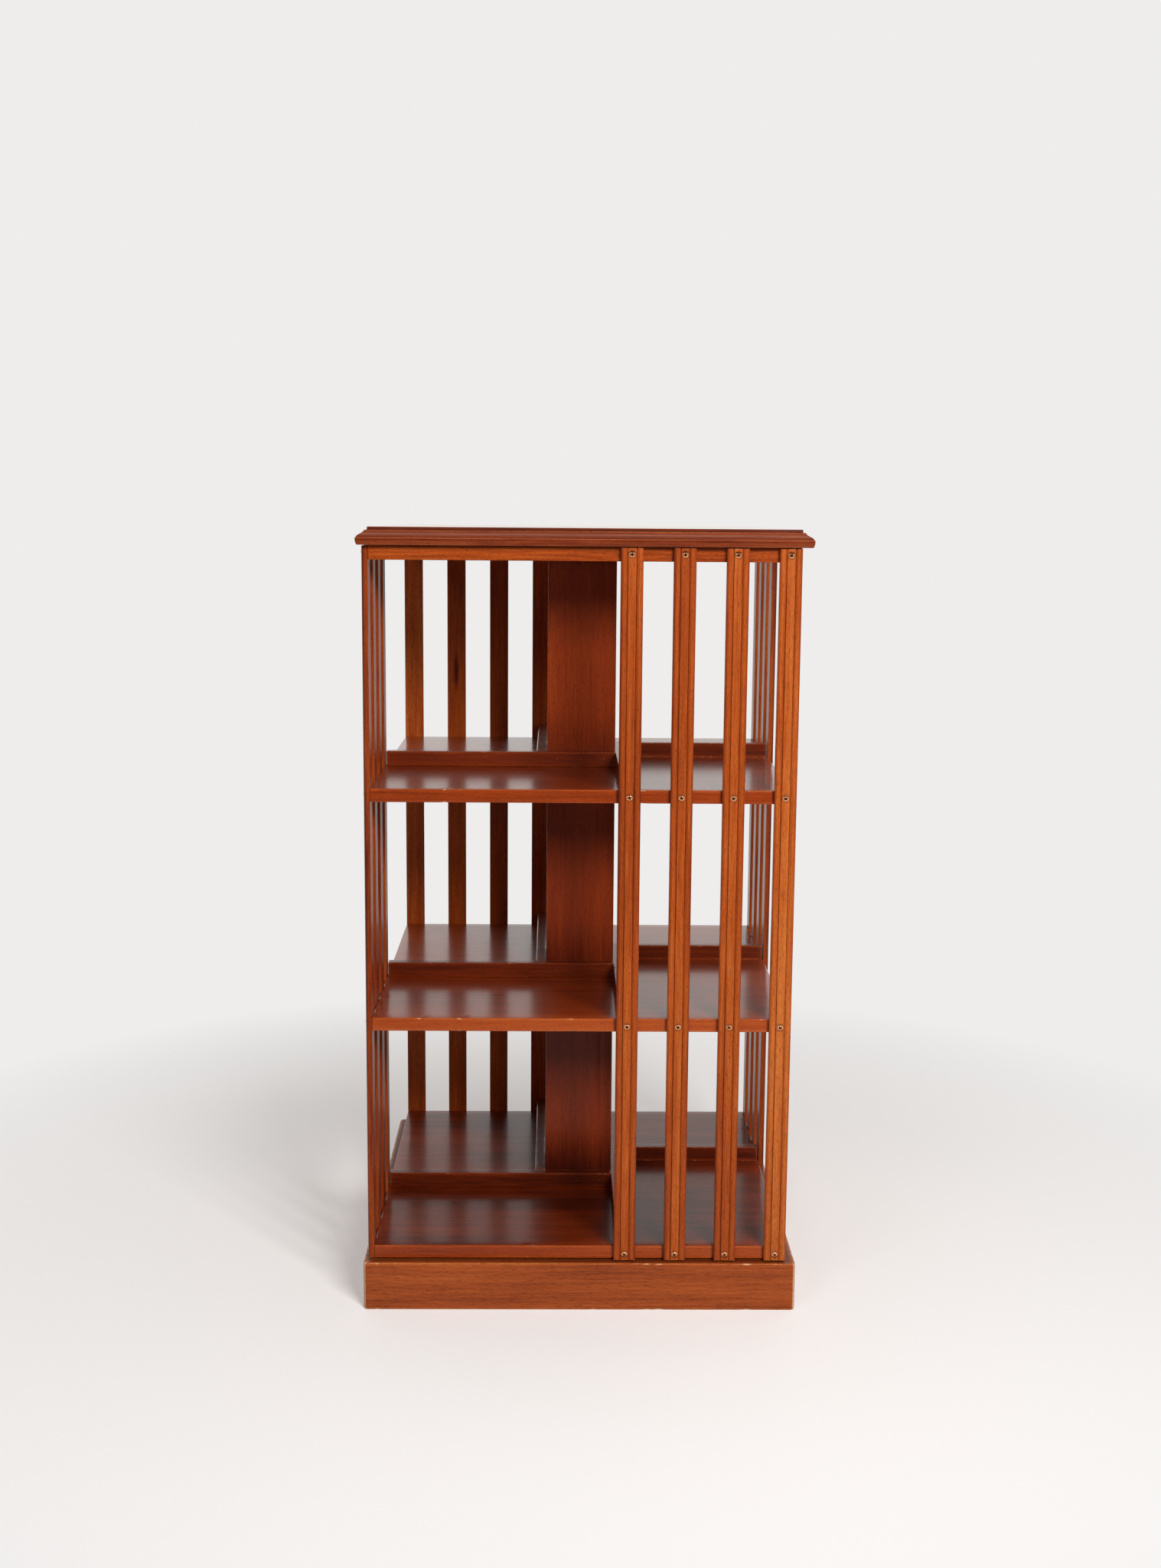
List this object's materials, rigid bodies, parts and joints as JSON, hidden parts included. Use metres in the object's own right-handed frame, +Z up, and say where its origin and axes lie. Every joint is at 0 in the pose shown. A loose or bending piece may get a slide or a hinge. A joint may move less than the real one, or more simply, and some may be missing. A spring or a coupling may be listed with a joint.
{
  "type": "revolving bookcase",
  "caption": "Square floor-standing wooden bookcase whose slatted open case of shelves turns on a spindle in a low plinth, with a moulded top.",
  "frame": {"origin": "centre of the plinth's foot, on the floor", "axes": "+Z up along the spindle, -Y out of the front, +X to the right"},
  "size_m": [0.495, 0.495, 0.8855],
  "materials": {
    "slat_mahogany": "satin lacquered mahogany, beaded",
    "stop_mahogany": "satin lacquered mahogany",
    "column_mahogany": "dark lacquered mahogany",
    "plinth_mahogany": "satin lacquered mahogany, worn arrises",
    "shelf_mahogany": "gloss lacquered mahogany",
    "top_mahogany": "gloss lacquered mahogany, moulded",
    "carcass_wood": "bare sawn wood",
    "spindle_steel": "turned steel",
    "zinc_steel": "zinc plated steel",
    "bush_plastic": "natural bearing plastic",
    "screw_brass": "worn brass"
  },
  "bodies": {
    "base": {"plinth_front_board": "plinth_mahogany", "plinth_right_board": "plinth_mahogany", "plinth_back_board": "plinth_mahogany", "plinth_left_board": "plinth_mahogany", "base_panel": "carcass_wood", "plinth_corner_blocks": "carcass_wood", "base_panel_screws": "zinc_steel", "spindle": "spindle_steel", "spindle_coach_screws": "zinc_steel"},
    "case": {"bottom_shelf": "shelf_mahogany", "lower_shelf": "shelf_mahogany", "upper_shelf": "shelf_mahogany", "sub_top": "shelf_mahogany", "moulded_top": "top_mahogany", "column_lower_front": "column_mahogany", "column_lower_right": "column_mahogany", "column_lower_back": "column_mahogany", "column_lower_left": "column_mahogany", "column_middle_front": "column_mahogany", "column_middle_right": "column_mahogany", "column_middle_back": "column_mahogany", "column_middle_left": "column_mahogany", "column_upper_front": "column_mahogany", "column_upper_right": "column_mahogany", "column_upper_back": "column_mahogany", "column_upper_left": "column_mahogany", "stop_lower_front": "stop_mahogany", "stop_lower_right": "stop_mahogany", "stop_lower_back": "stop_mahogany", "stop_lower_left": "stop_mahogany", "stop_middle_front": "stop_mahogany", "stop_middle_right": "stop_mahogany", "stop_middle_back": "stop_mahogany", "stop_middle_left": "stop_mahogany", "stop_upper_front": "stop_mahogany", "stop_upper_right": "stop_mahogany", "stop_upper_back": "stop_mahogany", "stop_upper_left": "stop_mahogany", "slat_front_1": "slat_mahogany", "slat_front_2": "slat_mahogany", "slat_front_3": "slat_mahogany", "slat_front_4": "slat_mahogany", "slat_right_1": "slat_mahogany", "slat_right_2": "slat_mahogany", "slat_right_3": "slat_mahogany", "slat_right_4": "slat_mahogany", "slat_back_1": "slat_mahogany", "slat_back_2": "slat_mahogany", "slat_back_3": "slat_mahogany", "slat_back_4": "slat_mahogany", "slat_left_1": "slat_mahogany", "slat_left_2": "slat_mahogany", "slat_left_3": "slat_mahogany", "slat_left_4": "slat_mahogany", "slat_screws": "screw_brass", "top_fixing_screws": "zinc_steel", "pivot_plate": "spindle_steel", "guide_bushes": "bush_plastic"}
  },
  "joints": [
    {"name": "case_spin", "type": "hinge", "parent": "base", "child": "case", "pos_m": [0, 0, 0.057], "axis": [0, 0, 1], "continuous": true}
  ]
}
